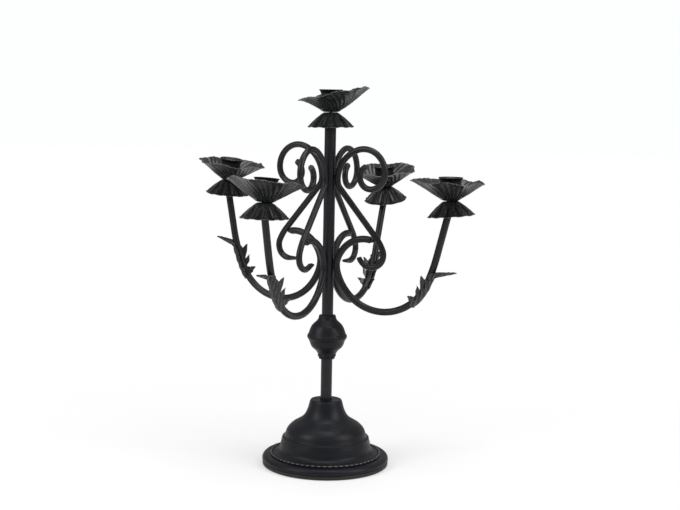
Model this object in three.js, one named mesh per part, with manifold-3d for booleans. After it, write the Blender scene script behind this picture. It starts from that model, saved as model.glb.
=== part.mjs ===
// A table candelabra of painted iron: a round base, a post with a spun knop, four scrolled
// arms with leaves, and five flower-shaped candle holders.
// Millimetres, +Z up. The origin is the centre of the underside of the base plate.
// The right front arm leaves the post between +X and -Y.

import * as THREE from 'three';
import { mergeVertices } from 'three/addons/utils/BufferGeometryUtils.js';
import Module from 'manifold-3d';

const wasm = await Module();
wasm.setup();

const radians = THREE.MathUtils.degToRad;

// ---- Driving sizes ---------------------------------------------------------------------------

const GAP = 0.3; // kept between pieces that touch
const SHEET = 0.8; // stamped sheet of the flowers and leaves
const SPUN_WALL = 1.0; // spun sheet of the bell and the knop

const PLATE_RADIUS = 75.8;
const PLATE_THICKNESS = 12;
const PLATE_SHOULDER = 5; // rounding of the upper edge
const GROOVE_HEIGHT = 4.6; // turned line round the plate's side
const GROOVE_SIZE = 0.9;
const PLATE_BEVEL = 1.6; // lower edge

const BELL_FOOT_RADIUS = 63.5;
const BELL_WAIST_RADIUS = 54.2;
const BELL_STEP_RADIUS = 52;
const BELL_DOME_RADIUS = 47.6;
const BELL_NECK_RADIUS = 18.6;
const BELL_HEIGHT = 66; // plate to the flat top of the neck
const BEAD_SIZE = 2.0; // beaded wire round the bell's foot

const POST_DIAMETER = 13.5;
const POST_WALL = 1.5;
const POST_TOP = 419.4; // height of the post's upper end
const PLUG_LENGTH = 24;

const STUD_DIAMETER = 6; // threaded stud that joins the post to the plate
const STUD_ABOVE_PLATE = 24;
const STUD_IN_PLATE = 8;
const NUT_ACROSS_FLATS = 10;
const NUT_HEIGHT = 5;

const KNOP_SEAM_HEIGHT = 155;
const KNOP_RADIUS = 23.7;
const KNOP_UPPER_HEIGHT = 25.6;
const KNOP_LOWER_HEIGHT = 27;
const KNOP_DISC_THICKNESS = 1.5;

const ARM_DIAMETER = 8.2;
const ARM_WELD_HEIGHT = 242.9; // where the arm touches the post
const SCROLL_DIAMETER = 7.3;
const SCROLL_END_RADIUS = 17; // last bend of its lower curl
const SCROLL_WELD_HEIGHT = 342.3;
const HOLDER_HEIGHT = 323.9; // end of an arm, under its flower
const ARM_END_BEND = 20; // radius of the bend hidden in the flower
const ARM_END_STRAIGHT = 4.5;

const SKIRT_RADIUS = 25.4;
const SKIRT_DROP = 16.5;
const SKIRT_SHOULDER_RADIUS = 12.4;
const SKIRT_SHOULDER_DROP = 4.4;
const SKIRT_FLUTES = 12;
const SKIRT_FLUTE_DEPTH = 0.8;

const DISC_RADIUS = 7.6; // flat middle of a skirt and of a pan
const PAN_RADIUS = 40;
const PAN_RISE = 21.8;
const PAN_BOWL_RADIUS = 12.5;
const PAN_BOWL_RISE = 2.4;
const PETALS = 6;
const PETAL_REACH = 2.4; // how far petal tips stand out past the mean edge
const PETAL_DROOP = 0.8; // how far they hang under it

const CUP_BORE = 22; // takes a standard taper candle
const CUP_WALL = 0.9;
const CUP_FLOOR = 1.2;
const CUP_HEIGHT = 25.2;
const CUP_FOOT_RISE = 5.2; // rounded foot of the cup
const CUP_FOOT_RADIUS = 7.6;
const CUP_LIP_RADIUS = 14.3;
const CUP_LIP_HEIGHT = 4;

const SCREW_DIAMETER = 3.4;
const SCREW_LENGTH = 9;
const SCREW_HEAD_DIAMETER = 6.6;
const SCREW_HEAD_HEIGHT = 2.0;
const SCREW_SLOT = 0.9;

const LEAF_START = 127; // along the arm from the weld
const LEAF_BODY = 42; // the part that lies on the arm
const LEAF_TONGUE = 33; // the part that curls off it
const LEAF_TONGUE_CURL = 80; // degrees
const LEAF_HALF_WIDTH = 16;
const LEAF_LOBES = 3;
const LEAF_LOBE_DEPTH = 0.42;
const LEAF_FLARE = 32; // degrees

// The arm, bent in one plane from its weld on the post. A turn is in degrees, and positive
// turns to the left as the rod is followed, with the post on the left hand side of the plane.
const ARM_HOOK = [
  { radius: 18, turn: -18 },
  { radius: 39, turn: -57 },
  { radius: 33, turn: -50 },
];
const ARM_BOWL = [
  { radius: 34, turn: 19 },
  { radius: 60, turn: 66 },
];
const ARM_BOWL_RISE = 69; // degrees of the last round bend, whose radius each arm has to itself
const ARM_STEM_BEND = 180; // radius of the easy bend into the straight stem
const SCROLL_UPPER_CURL = [
  { radius: 38, turn: -70 },
  { radius: 27, turn: -112 },
  { radius: 19, turn: -82 },
  { radius: 13.7, turn: -160 },
];
const SCROLL_LOWER_CURL = [
  { radius: 15, turn: 41 },
  { length: 71.5 },
  { radius: 59, turn: -17 },
  { radius: 15, turn: -90 },
];

// Each arm was bent and welded by hand, so the four differ a little.
// lift raises the arm's weld, scrollLift the scroll's and rise the flower. bowl is the radius
// of the last round bend, stem the lean of the straight stem and lean that of the flower, both
// outwards and in degrees. leaf moves the leaf up the arm. curl is the turn of the scroll's last
// bend and tail the straight length after it.
const ARMS = [
  {
    side: 'right_front', azimuth: -27.5, lift: -0.5, scrollLift: -0.5, rise: 0,
    bowl: 63, stem: 14.5, lean: 0, leaf: 0, curl: 93, tail: 0,
  },
  {
    side: 'left_front', azimuth: -117, lift: -1.5, scrollLift: -1, rise: 0,
    bowl: 63, stem: 12, lean: -8, leaf: 4, curl: 45, tail: 9,
  },
  {
    side: 'left_back', azimuth: 147, lift: 3, scrollLift: 2, rise: 9,
    bowl: 62.2, stem: 11, lean: -8, leaf: 13, curl: 26, tail: 10,
  },
  {
    side: 'right_back', azimuth: 63, lift: -1, scrollLift: -2.5, rise: 0,
    bowl: 56, stem: 19.5, lean: -6, leaf: -6, curl: 28, tail: 12,
  },
];

// How each pan was bent: tilt raises one edge and reach draws it out, towards a direction
// in the flower's own frame (degrees from its +X).
const PAN_BENDS = {
  top: { tilt: 8, reach: 3.5, towards: 0, spin: 10 },
  right_front: { tilt: 1, reach: 4, towards: 180, spin: 15 },
  left_front: { tilt: 2.5, reach: 0.5, towards: 0, spin: 57 },
  left_back: { tilt: 1, reach: 1, towards: 180, spin: 18 },
  right_back: { tilt: 2, reach: 1, towards: 0, spin: 25 },
};

const ROUND_SIDES = 20;
const TURNED_SIDES = 32;
const ROD_SIDES = 8;
const ARM_STEPS = 36;
const SCROLL_STEPS = 52;
const PAN_SIDES = 5 * PETALS;
const ARC_STEPS = 3;

// ---- Sizes that follow -----------------------------------------------------------------------

const POST_RADIUS = POST_DIAMETER / 2;
const POST_BORE_RADIUS = POST_RADIUS - POST_WALL;
const POST_HOLE_RADIUS = POST_RADIUS + GAP;
const ARM_RADIUS = ARM_DIAMETER / 2;
const SCROLL_RADIUS = SCROLL_DIAMETER / 2;
const STUD_RADIUS = STUD_DIAMETER / 2;
const STUD_HOLE_RADIUS = STUD_RADIUS + GAP;
const SCREW_RADIUS = SCREW_DIAMETER / 2;
const SCREW_HOLE_RADIUS = SCREW_RADIUS + GAP;
const PLUG_RADIUS = POST_BORE_RADIUS - GAP;
const NUT_SEAT = PLATE_THICKNESS + GAP;
const POST_FOOT = NUT_SEAT + NUT_HEIGHT + GAP;

// Heights in a flower's own frame, from the end of the rod or post that carries it.
const SKIRT_DISC = GAP;
const PAN_DISC = SKIRT_DISC + SHEET + GAP;
const CUP_SEAT = PAN_DISC + SHEET + GAP;
const SCREW_SEAT = CUP_SEAT + CUP_FLOOR + GAP;

// ---- Helpers -----------------------------------------------------------------------------------

const PAINT = { color: '#1b1c1f', roughness: 0.5, metalness: 0.35 };
const STEEL = { color: '#6d6f72', roughness: 0.4, metalness: 0.9 };

function piece(name, geometry, look) {
  const mesh = new THREE.Mesh(geometry, new THREE.MeshStandardMaterial(look));
  mesh.name = name;
  return mesh;
}

// Turns an outline of [radius, height] points about Z. The outline runs up its outside, and
// closes on itself unless it starts and ends on the axis.
function turned(outline, sides) {
  const closed = outline[0][0] === 0 ? outline : [...outline, outline[0]];
  const points = closed.map(([radius, height]) => new THREE.Vector2(radius, height));
  return new THREE.LatheGeometry(points, sides).rotateX(Math.PI / 2);
}

function arc(radius, height, round, fromAngle, toAngle) {
  const points = [];
  for (let step = 0; step <= ARC_STEPS; step += 1) {
    const angle = radians(fromAngle + ((toAngle - fromAngle) * step) / ARC_STEPS);
    points.push([radius + round * Math.cos(angle), height + round * Math.sin(angle)]);
  }
  return points;
}

// A spun shell: the outline of its outside, from the bottom up, and the same moved in by the wall.
function shell(outside, wall) {
  const inside = outside.map((point, index) => {
    const before = outside[Math.max(index - 1, 0)];
    const after = outside[Math.min(index + 1, outside.length - 1)];
    const run = Math.hypot(after[0] - before[0], after[1] - before[1]);
    const across = (after[1] - before[1]) / run;
    const along = (after[0] - before[0]) / run;
    return [point[0] - wall * across, point[1] + wall * along];
  });
  return [...outside, ...inside.reverse()];
}

function cylinder(radius, bottom, top, sides) {
  const geometry = new THREE.CylinderGeometry(radius, radius, top - bottom, sides);
  return geometry.rotateX(Math.PI / 2).translate(0, 0, (bottom + top) / 2);
}

function toSolid(geometry) {
  const bare = geometry.clone();
  bare.deleteAttribute('normal');
  bare.deleteAttribute('uv');
  const merged = mergeVertices(bare);
  return new wasm.Manifold(new wasm.Mesh({
    numProp: 3,
    vertProperties: Float32Array.from(merged.attributes.position.array),
    triVerts: Uint32Array.from(merged.index.array),
  }));
}

function toGeometry(solid) {
  const mesh = solid.getMesh();
  const geometry = new THREE.BufferGeometry();
  geometry.setAttribute('position', new THREE.BufferAttribute(mesh.vertProperties, 3));
  geometry.setIndex(new THREE.BufferAttribute(mesh.triVerts, 1));
  geometry.computeVertexNormals();
  return geometry;
}

// ---- Bent rods ---------------------------------------------------------------------------------

function bendLength(bend) {
  return bend.length ?? bend.radius * radians(Math.abs(bend.turn));
}

function totalLength(bends) {
  return bends.reduce((sum, bend) => sum + bendLength(bend), 0);
}

// Walks a distance along a run of bends, and gives the place, the heading and the outer side.
function walk(start, heading, bends, distance) {
  const place = { x: start.x, z: start.z, heading };
  let left = distance;
  for (const bend of bends) {
    const length = Math.min(left, bendLength(bend));
    if (bend.length === undefined) {
      const side = Math.sign(bend.turn);
      const turn = (side * length) / bend.radius;
      place.x += side * bend.radius * (Math.sin(place.heading + turn) - Math.sin(place.heading));
      place.z -= side * bend.radius * (Math.cos(place.heading + turn) - Math.cos(place.heading));
      place.heading += turn;
    } else {
      place.x += length * Math.cos(place.heading);
      place.z += length * Math.sin(place.heading);
    }
    left -= length;
  }
  return place;
}

// A rod welded to the post at one point: one run of bends goes up from the weld, one goes down.
class BentRod extends THREE.Curve {
  constructor(weld, up, down, upLength = totalLength(up)) {
    super();
    this.weld = weld;
    this.up = up;
    this.down = down;
    this.upLength = upLength;
    this.downLength = totalLength(down);
  }

  above(distance) {
    return walk(this.weld, Math.PI / 2, this.up, distance);
  }

  below(distance) {
    return walk(this.weld, -Math.PI / 2, this.down, distance);
  }

  getPoint(share, target = new THREE.Vector3()) {
    const distance = share * (this.upLength + this.downLength) - this.upLength;
    const place = distance < 0 ? this.above(-distance) : this.below(distance);
    return target.set(place.x, 0, place.z);
  }
}

function rodGeometry(curve, radius, steps) {
  const section = new THREE.Shape();
  for (let side = 0; side < ROD_SIDES; side += 1) {
    const angle = (2 * Math.PI * side) / ROD_SIDES;
    const corner = [radius * Math.cos(angle), radius * Math.sin(angle)];
    if (side === 0) {
      section.moveTo(...corner);
    } else {
      section.lineTo(...corner);
    }
  }
  section.closePath();
  return new THREE.ExtrudeGeometry(section, { steps, extrudePath: curve, bevelEnabled: false });
}

function scrollCurve(arm) {
  const weld = { x: POST_RADIUS + GAP + SCROLL_RADIUS, z: SCROLL_WELD_HEIGHT + arm.scrollLift };
  const end = [{ radius: SCROLL_END_RADIUS, turn: -arm.curl }, { length: arm.tail }];
  return new BentRod(weld, SCROLL_UPPER_CURL, [...SCROLL_LOWER_CURL, ...end]);
}

// The stem's straight length follows from the height at which it has to end.
function armBends(arm, weld) {
  const heading = 90 - arm.stem;
  const bowl = [...ARM_BOWL, { radius: arm.bowl, turn: ARM_BOWL_RISE }];
  const bowlTurn = bowl.reduce((sum, bend) => sum + bend.turn, 0);
  const ease = { radius: ARM_STEM_BEND, turn: heading + 90 - bowlTurn };
  const end = [{ radius: ARM_END_BEND, turn: arm.stem - arm.lean }, { length: ARM_END_STRAIGHT }];
  const bent = [...bowl, ease, ...end];
  const shortfall = HOLDER_HEIGHT + arm.rise - walk(weld, -Math.PI / 2, bent, totalLength(bent)).z;
  return [...bowl, ease, { length: shortfall / Math.sin(radians(heading)) }, ...end];
}

// The hook runs on until a corner of its end meets the scroll, and is cut there.
function hookLength(hook, weld, scroll) {
  const step = 0.25;
  const full = totalLength(hook);
  const marks = scroll.getPoints(400);
  const corner = new THREE.Vector3();
  for (let distance = full / 2; distance < full; distance += step) {
    const place = walk(weld, Math.PI / 2, hook, distance);
    for (const side of [-ARM_RADIUS, ARM_RADIUS]) {
      corner.set(place.x - side * Math.sin(place.heading), 0, place.z + side * Math.cos(place.heading));
      if (marks.some((mark) => mark.distanceTo(corner) < SCROLL_RADIUS + GAP)) {
        return distance - step;
      }
    }
  }
  return full;
}

function armCurve(arm, scroll) {
  const weld = { x: POST_RADIUS + GAP + ARM_RADIUS, z: ARM_WELD_HEIGHT + arm.lift };
  return new BentRod(weld, ARM_HOOK, armBends(arm, weld), hookLength(ARM_HOOK, weld, scroll));
}

// The end of the arm, tapped for the screw that holds its flower.
function armGeometry(curve, end) {
  const depth = SCREW_LENGTH - SCREW_SEAT + 2 * GAP;
  const hole = cylinder(SCREW_HOLE_RADIUS, -depth, 1, 12);
  hole.rotateY(Math.PI / 2 - end.heading).translate(end.x, 0, end.z);
  return toGeometry(toSolid(rodGeometry(curve, ARM_RADIUS, ARM_STEPS)).subtract(toSolid(hole)));
}

// ---- Leaf --------------------------------------------------------------------------------------

// Half the leaf's width at a distance along it: barbed lobes that shrink to a tongue.
function leafHalfWidth(distance) {
  const tooth = (distance / LEAF_BODY) * LEAF_LOBES;
  const cut = distance < LEAF_BODY ? 1 - (tooth % 1) : 1;
  const envelope = Math.cos((distance / (LEAF_BODY + LEAF_TONGUE)) * (Math.PI / 2)) ** 0.4;
  return Math.max(LEAF_HALF_WIDTH * (1 - LEAF_LOBE_DEPTH * cut) * envelope, SHEET);
}

// A sheet wrapped round the outer side of the arm. Past the rod's sides it stands up straight.
function leafGeometry(curve, start) {
  const columns = 6;
  const rows = 4 * LEAF_LOBES;
  const wrapColumns = 4; // the rest stand up beside the rod
  const rod = (ARM_RADIUS + GAP) / Math.cos(Math.PI / 2 / wrapColumns);
  const wrap = (rod * Math.PI) / 2;
  const flare = radians(LEAF_FLARE);
  const geometry = new THREE.BoxGeometry(1, 1, 1, columns, rows, 1);
  const position = geometry.attributes.position;
  for (let index = 0; index < position.count; index += 1) {
    const distance = (position.getY(index) + 0.5) * (LEAF_BODY + LEAF_TONGUE);
    const across = 2 * position.getX(index) * (columns / wrapColumns);
    const halfWidth = leafHalfWidth(distance);
    const stand = Math.max(halfWidth - wrap, 0) * Math.max(Math.abs(across) - 1, 0);
    const past = (stand * wrapColumns) / (columns - wrapColumns);
    const spread = halfWidth > wrap ? Math.min(Math.abs(across), 1) : Math.abs(2 * position.getX(index));
    const angle = (spread * Math.min(halfWidth / wrap, 1) * Math.PI) / 2;
    const radius = rod + SHEET * (position.getZ(index) + 0.5);
    const curl = (Math.max(distance - LEAF_BODY, 0) / LEAF_TONGUE) * radians(LEAF_TONGUE_CURL);
    const curlRadius = LEAF_TONGUE / radians(LEAF_TONGUE_CURL);
    const rise = radius * Math.cos(angle) - past * Math.cos(flare);
    const outwards = curlRadius + (rise - curlRadius) * Math.cos(curl);
    const onwards = (curlRadius - rise) * Math.sin(curl);
    const sideways = Math.sign(across) * (radius * Math.sin(angle) + past * Math.sin(flare));
    const place = curve.below(start + Math.min(distance, LEAF_BODY));
    const sine = Math.sin(place.heading);
    const cosine = Math.cos(place.heading);
    position.setXYZ(
      index,
      place.x + outwards * sine + onwards * cosine,
      sideways,
      place.z - outwards * cosine + onwards * sine,
    );
  }
  geometry.computeVertexNormals();
  return geometry;
}

// ---- Flower: skirt, pan, cup and screw ---------------------------------------------------------

function skirtGeometry() {
  const top = SKIRT_DISC + SHEET;
  const outside = [
    [SKIRT_RADIUS, top - SKIRT_DROP],
    [SKIRT_SHOULDER_RADIUS, top - SKIRT_SHOULDER_DROP],
    [DISC_RADIUS + SHEET, top],
    [SCREW_HOLE_RADIUS, top],
  ];
  const geometry = turned(shell(outside, SHEET), 2 * SKIRT_FLUTES);
  const position = geometry.attributes.position;
  for (let index = 0; index < position.count; index += 1) {
    const radius = Math.hypot(position.getX(index), position.getY(index));
    const angle = Math.atan2(position.getY(index), position.getX(index));
    const share = Math.max(radius - SKIRT_SHOULDER_RADIUS, 0) / (SKIRT_RADIUS - SKIRT_SHOULDER_RADIUS);
    const scale = 1 + (SKIRT_FLUTE_DEPTH * share * Math.cos(SKIRT_FLUTES * angle)) / radius;
    position.setXY(index, position.getX(index) * scale, position.getY(index) * scale);
  }
  return geometry;
}

function panGeometry(bend) {
  const outside = [
    [SCREW_HOLE_RADIUS, PAN_DISC],
    [DISC_RADIUS, PAN_DISC],
    [PAN_BOWL_RADIUS, PAN_DISC + PAN_BOWL_RISE],
    [(PAN_BOWL_RADIUS + PAN_RADIUS) / 2, PAN_DISC + (PAN_BOWL_RISE + PAN_RISE) / 2],
    [PAN_RADIUS, PAN_DISC + PAN_RISE],
  ];
  const geometry = turned(shell(outside, SHEET), PAN_SIDES);
  const position = geometry.attributes.position;
  const towards = radians(bend.towards);
  const spin = radians(bend.spin);
  for (let index = 0; index < position.count; index += 1) {
    const radius = Math.hypot(position.getX(index), position.getY(index));
    const angle = Math.atan2(position.getY(index), position.getX(index));
    const share = Math.max(radius - PAN_BOWL_RADIUS, 0) / (PAN_RADIUS - PAN_BOWL_RADIUS);
    const petal = Math.cos(PETALS * (angle - spin));
    const side = Math.cos(angle - towards);
    const scale = 1 + ((PETAL_REACH * petal + bend.reach * side) * share ** 2) / radius;
    const lift = (bend.tilt * side - PETAL_DROOP * petal) * share ** 2;
    position.setXYZ(
      index,
      position.getX(index) * scale,
      position.getY(index) * scale,
      position.getZ(index) + lift,
    );
  }
  return geometry;
}

function cupGeometry() {
  const bore = CUP_BORE / 2;
  const outer = bore + CUP_WALL;
  const top = CUP_SEAT + CUP_HEIGHT;
  return turned([
    [SCREW_HOLE_RADIUS, CUP_SEAT],
    [CUP_FOOT_RADIUS, CUP_SEAT],
    [outer, CUP_SEAT + CUP_FOOT_RISE],
    [outer, top - CUP_LIP_HEIGHT],
    [CUP_LIP_RADIUS, top],
    [bore, top - CUP_LIP_HEIGHT + CUP_WALL],
    [bore, CUP_SEAT + CUP_FOOT_RISE],
    [CUP_FOOT_RADIUS, CUP_SEAT + CUP_FLOOR],
    [SCREW_HOLE_RADIUS, CUP_SEAT + CUP_FLOOR],
  ], ROUND_SIDES);
}

function screwGeometry() {
  const top = SCREW_SEAT + SCREW_HEAD_HEIGHT;
  const shank = toSolid(cylinder(SCREW_RADIUS, SCREW_SEAT - SCREW_LENGTH, top - SCREW_SLOT, 12));
  const head = toSolid(cylinder(SCREW_HEAD_DIAMETER / 2, SCREW_SEAT, top, 16));
  const slot = new THREE.BoxGeometry(SCREW_HEAD_DIAMETER, SCREW_SLOT, 2 * SCREW_SLOT);
  slot.translate(0, 0, top);
  return toGeometry(head.add(shank).subtract(toSolid(slot)));
}

function flower(side) {
  const group = new THREE.Group();
  group.add(piece(`skirt_${side}`, skirtGeometry(), PAINT));
  group.add(piece(`pan_${side}`, panGeometry(PAN_BENDS[side]), PAINT));
  group.add(piece(`cup_${side}`, cupGeometry(), PAINT));
  group.add(piece(`screw_${side}`, screwGeometry(), PAINT));
  return group;
}

// ---- Arm with its scroll, leaf and flower ------------------------------------------------------

function armGroup(arm) {
  const group = new THREE.Group();
  const scroll = scrollCurve(arm);
  const rod = armCurve(arm, scroll);
  const end = rod.below(rod.downLength);
  group.add(piece(`arm_${arm.side}`, armGeometry(rod, end), PAINT));
  group.add(piece(`scroll_${arm.side}`, rodGeometry(scroll, SCROLL_RADIUS, SCROLL_STEPS), PAINT));
  group.add(piece(`leaf_${arm.side}`, leafGeometry(rod, LEAF_START + arm.leaf), PAINT));
  const holder = flower(arm.side);
  holder.position.set(end.x, 0, end.z);
  holder.rotation.y = Math.PI / 2 - end.heading;
  group.add(holder);
  group.rotation.z = radians(arm.azimuth);
  return group;
}

// ---- Base --------------------------------------------------------------------------------------

function platePiece() {
  const shoulderFoot = PLATE_THICKNESS - PLATE_SHOULDER;
  const shoulder = arc(PLATE_RADIUS - PLATE_SHOULDER, shoulderFoot, PLATE_SHOULDER, 0, 90);
  const holeFloor = PLATE_THICKNESS - STUD_IN_PLATE - GAP;
  return piece('base_plate', turned([
    [0, 0],
    [PLATE_RADIUS - PLATE_BEVEL, 0],
    [PLATE_RADIUS - GROOVE_SIZE / 2, PLATE_BEVEL],
    [PLATE_RADIUS - GROOVE_SIZE / 2, GROOVE_HEIGHT - GROOVE_SIZE],
    [PLATE_RADIUS - GROOVE_SIZE, GROOVE_HEIGHT],
    ...shoulder,
    [STUD_HOLE_RADIUS, PLATE_THICKNESS],
    [STUD_HOLE_RADIUS, holeFloor],
    [0, holeFloor],
  ], TURNED_SIDES), PAINT);
}

// The bell, from its foot on the plate to the flat top of its neck.
function bellPiece() {
  const foot = PLATE_THICKNESS + GAP;
  const top = foot + BELL_HEIGHT;
  const dome = (BELL_DOME_RADIUS + BELL_NECK_RADIUS) / 2;
  return piece('base_bell', turned(shell([
    [BELL_FOOT_RADIUS, foot],
    [BELL_FOOT_RADIUS, foot + SPUN_WALL],
    [(BELL_FOOT_RADIUS + BELL_WAIST_RADIUS) / 2, foot + 0.04 * BELL_HEIGHT],
    [BELL_WAIST_RADIUS, foot + 0.13 * BELL_HEIGHT],
    [BELL_WAIST_RADIUS - 0.8, foot + 0.22 * BELL_HEIGHT],
    [BELL_STEP_RADIUS, foot + 0.31 * BELL_HEIGHT],
    [BELL_DOME_RADIUS, foot + 0.35 * BELL_HEIGHT],
    [BELL_DOME_RADIUS - 2.8, foot + 0.47 * BELL_HEIGHT],
    [dome + 6.6, foot + 0.56 * BELL_HEIGHT],
    [dome - 3.4, foot + 0.65 * BELL_HEIGHT],
    [BELL_NECK_RADIUS + 6.2, foot + 0.74 * BELL_HEIGHT],
    [BELL_NECK_RADIUS + 2.9, foot + 0.82 * BELL_HEIGHT],
    [BELL_NECK_RADIUS + 1.1, foot + 0.94 * BELL_HEIGHT],
    [BELL_NECK_RADIUS, top - SPUN_WALL],
    [BELL_NECK_RADIUS - 1.2, top],
    [POST_HOLE_RADIUS + 0.4, top],
  ], SPUN_WALL), TURNED_SIDES), PAINT);
}

function beadRing() {
  const round = BEAD_SIZE / 2;
  const ring = new THREE.TorusGeometry(BELL_FOOT_RADIUS + GAP + round, round, 6, TURNED_SIDES);
  return piece('bead_ring', ring.translate(0, 0, PLATE_THICKNESS + GAP + round), PAINT);
}

// Inside the bell: the stud screws into the plate and into the plug in the post's foot, and
// the post stands on the stud's nut.
function baseFixing() {
  const studFoot = PLATE_THICKNESS - STUD_IN_PLATE;
  const stud = cylinder(STUD_RADIUS, studFoot, PLATE_THICKNESS + STUD_ABOVE_PLATE, 16);
  const nut = toSolid(cylinder(NUT_ACROSS_FLATS / Math.sqrt(3), NUT_SEAT, NUT_SEAT + NUT_HEIGHT, 6));
  const hole = toSolid(cylinder(STUD_HOLE_RADIUS, NUT_SEAT - 1, NUT_SEAT + NUT_HEIGHT + 1, 16));
  return [
    piece('base_stud', stud, STEEL),
    piece('base_nut', toGeometry(nut.subtract(hole)), STEEL),
    piece('post_foot_plug', plug(POST_FOOT, POST_FOOT + PLUG_LENGTH, STUD_HOLE_RADIUS), STEEL),
  ];
}

function plug(bottom, top, bore) {
  return turned([
    [PLUG_RADIUS, bottom],
    [PLUG_RADIUS, top],
    [bore, top],
    [bore, bottom],
  ], ROUND_SIDES);
}

// ---- Post and knop -----------------------------------------------------------------------------

function postPieces() {
  const post = turned([
    [POST_RADIUS, POST_FOOT],
    [POST_RADIUS, POST_TOP],
    [POST_BORE_RADIUS, POST_TOP],
    [POST_BORE_RADIUS, POST_FOOT],
  ], ROUND_SIDES);
  return [
    piece('post', post, PAINT),
    piece('post_top_plug', plug(POST_TOP - PLUG_LENGTH / 2, POST_TOP, SCREW_HOLE_RADIUS), STEEL),
  ];
}

function knopPieces() {
  const lowerRim = KNOP_SEAM_HEIGHT - KNOP_DISC_THICKNESS / 2 - GAP;
  const upperRim = KNOP_SEAM_HEIGHT + KNOP_DISC_THICKNESS / 2 + GAP;
  const lower = [
    [POST_HOLE_RADIUS, KNOP_SEAM_HEIGHT - KNOP_LOWER_HEIGHT],
    [0.4 * KNOP_RADIUS, KNOP_SEAM_HEIGHT - KNOP_LOWER_HEIGHT],
    [0.45 * KNOP_RADIUS, KNOP_SEAM_HEIGHT - 0.84 * KNOP_LOWER_HEIGHT],
    [0.54 * KNOP_RADIUS, KNOP_SEAM_HEIGHT - 0.65 * KNOP_LOWER_HEIGHT],
    [0.76 * KNOP_RADIUS, KNOP_SEAM_HEIGHT - 0.47 * KNOP_LOWER_HEIGHT],
    [0.89 * KNOP_RADIUS, KNOP_SEAM_HEIGHT - 0.2 * KNOP_LOWER_HEIGHT],
    [KNOP_RADIUS, lowerRim - SPUN_WALL],
    [KNOP_RADIUS, lowerRim],
  ];
  const upper = [
    [KNOP_RADIUS, upperRim],
    [KNOP_RADIUS, upperRim + SPUN_WALL],
    [0.88 * KNOP_RADIUS, KNOP_SEAM_HEIGHT + 0.23 * KNOP_UPPER_HEIGHT],
    [0.74 * KNOP_RADIUS, KNOP_SEAM_HEIGHT + 0.56 * KNOP_UPPER_HEIGHT],
    [0.51 * KNOP_RADIUS, KNOP_SEAM_HEIGHT + 0.74 * KNOP_UPPER_HEIGHT],
    [0.43 * KNOP_RADIUS, KNOP_SEAM_HEIGHT + 0.96 * KNOP_UPPER_HEIGHT],
    [POST_HOLE_RADIUS + SPUN_WALL, KNOP_SEAM_HEIGHT + KNOP_UPPER_HEIGHT],
  ];
  const rim = KNOP_RADIUS - SPUN_WALL;
  const disc = [
    [rim, KNOP_SEAM_HEIGHT - KNOP_DISC_THICKNESS / 2],
    [rim, KNOP_SEAM_HEIGHT + KNOP_DISC_THICKNESS / 2],
    [POST_HOLE_RADIUS, KNOP_SEAM_HEIGHT + KNOP_DISC_THICKNESS / 2],
    [POST_HOLE_RADIUS, KNOP_SEAM_HEIGHT - KNOP_DISC_THICKNESS / 2],
  ];
  return [
    piece('knop_lower', turned(shell(lower, SPUN_WALL), ROUND_SIDES), PAINT),
    piece('knop_upper', turned(shell(upper, SPUN_WALL), ROUND_SIDES), PAINT),
    piece('knop_disc', turned(disc, ROUND_SIDES), STEEL),
  ];
}

// ---- The whole candelabra ----------------------------------------------------------------------

const candelabra = new THREE.Group();
candelabra.add(platePiece(), bellPiece(), beadRing(), ...baseFixing());
candelabra.add(...postPieces(), ...knopPieces());
for (const arm of ARMS) {
  candelabra.add(armGroup(arm));
}
const topFlower = flower('top');
topFlower.position.z = POST_TOP;
candelabra.add(topFlower);

export default candelabra;
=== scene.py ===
"""A table candelabra of painted iron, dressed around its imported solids.

Sizes are in millimetres and are turned into metres where a mesh is made.
"""

import math
from collections import namedtuple

import bmesh
import bpy
from mathutils import Matrix, Vector, noise


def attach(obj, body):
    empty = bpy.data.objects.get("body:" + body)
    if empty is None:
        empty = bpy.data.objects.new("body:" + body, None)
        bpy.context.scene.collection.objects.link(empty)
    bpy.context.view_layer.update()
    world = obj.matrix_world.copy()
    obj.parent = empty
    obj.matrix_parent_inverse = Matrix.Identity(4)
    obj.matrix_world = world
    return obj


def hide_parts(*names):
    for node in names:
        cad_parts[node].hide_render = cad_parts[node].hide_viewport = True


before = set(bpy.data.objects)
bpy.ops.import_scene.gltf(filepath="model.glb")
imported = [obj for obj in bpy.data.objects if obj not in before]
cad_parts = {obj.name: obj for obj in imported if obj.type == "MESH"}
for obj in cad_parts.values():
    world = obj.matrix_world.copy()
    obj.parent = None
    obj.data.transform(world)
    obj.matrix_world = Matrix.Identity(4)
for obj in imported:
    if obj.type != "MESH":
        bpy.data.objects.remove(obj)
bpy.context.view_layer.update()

MM = 0.001
UP = Vector((0, 0, 1))


# ---- Camera --------------------------------------------------------------------------------

SENSOR = 36.0
LENS = 69.56
CAMERA_PLACE = (0.01372, -1.543, 0.4466)  # metres
CAMERA_REACH = (0.05, 50)  # metres
CAMERA_PITCH = 7.16  # degrees below the horizon
CAMERA_ROLL = 1.0  # degrees

camera_data = bpy.data.cameras.new("camera")
camera_data.sensor_width = SENSOR
camera_data.lens = LENS
camera_data.clip_start, camera_data.clip_end = CAMERA_REACH
camera = bpy.data.objects.new("camera", camera_data)
bpy.context.scene.collection.objects.link(camera)
camera_turn = Matrix.Rotation(math.radians(90 - CAMERA_PITCH), 4, "X")
camera_roll = Matrix.Rotation(math.radians(CAMERA_ROLL), 4, "Z")
camera.matrix_world = Matrix.Translation(CAMERA_PLACE) @ camera_turn @ camera_roll
bpy.context.scene.camera = camera


# ---- Materials -----------------------------------------------------------------------------

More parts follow.
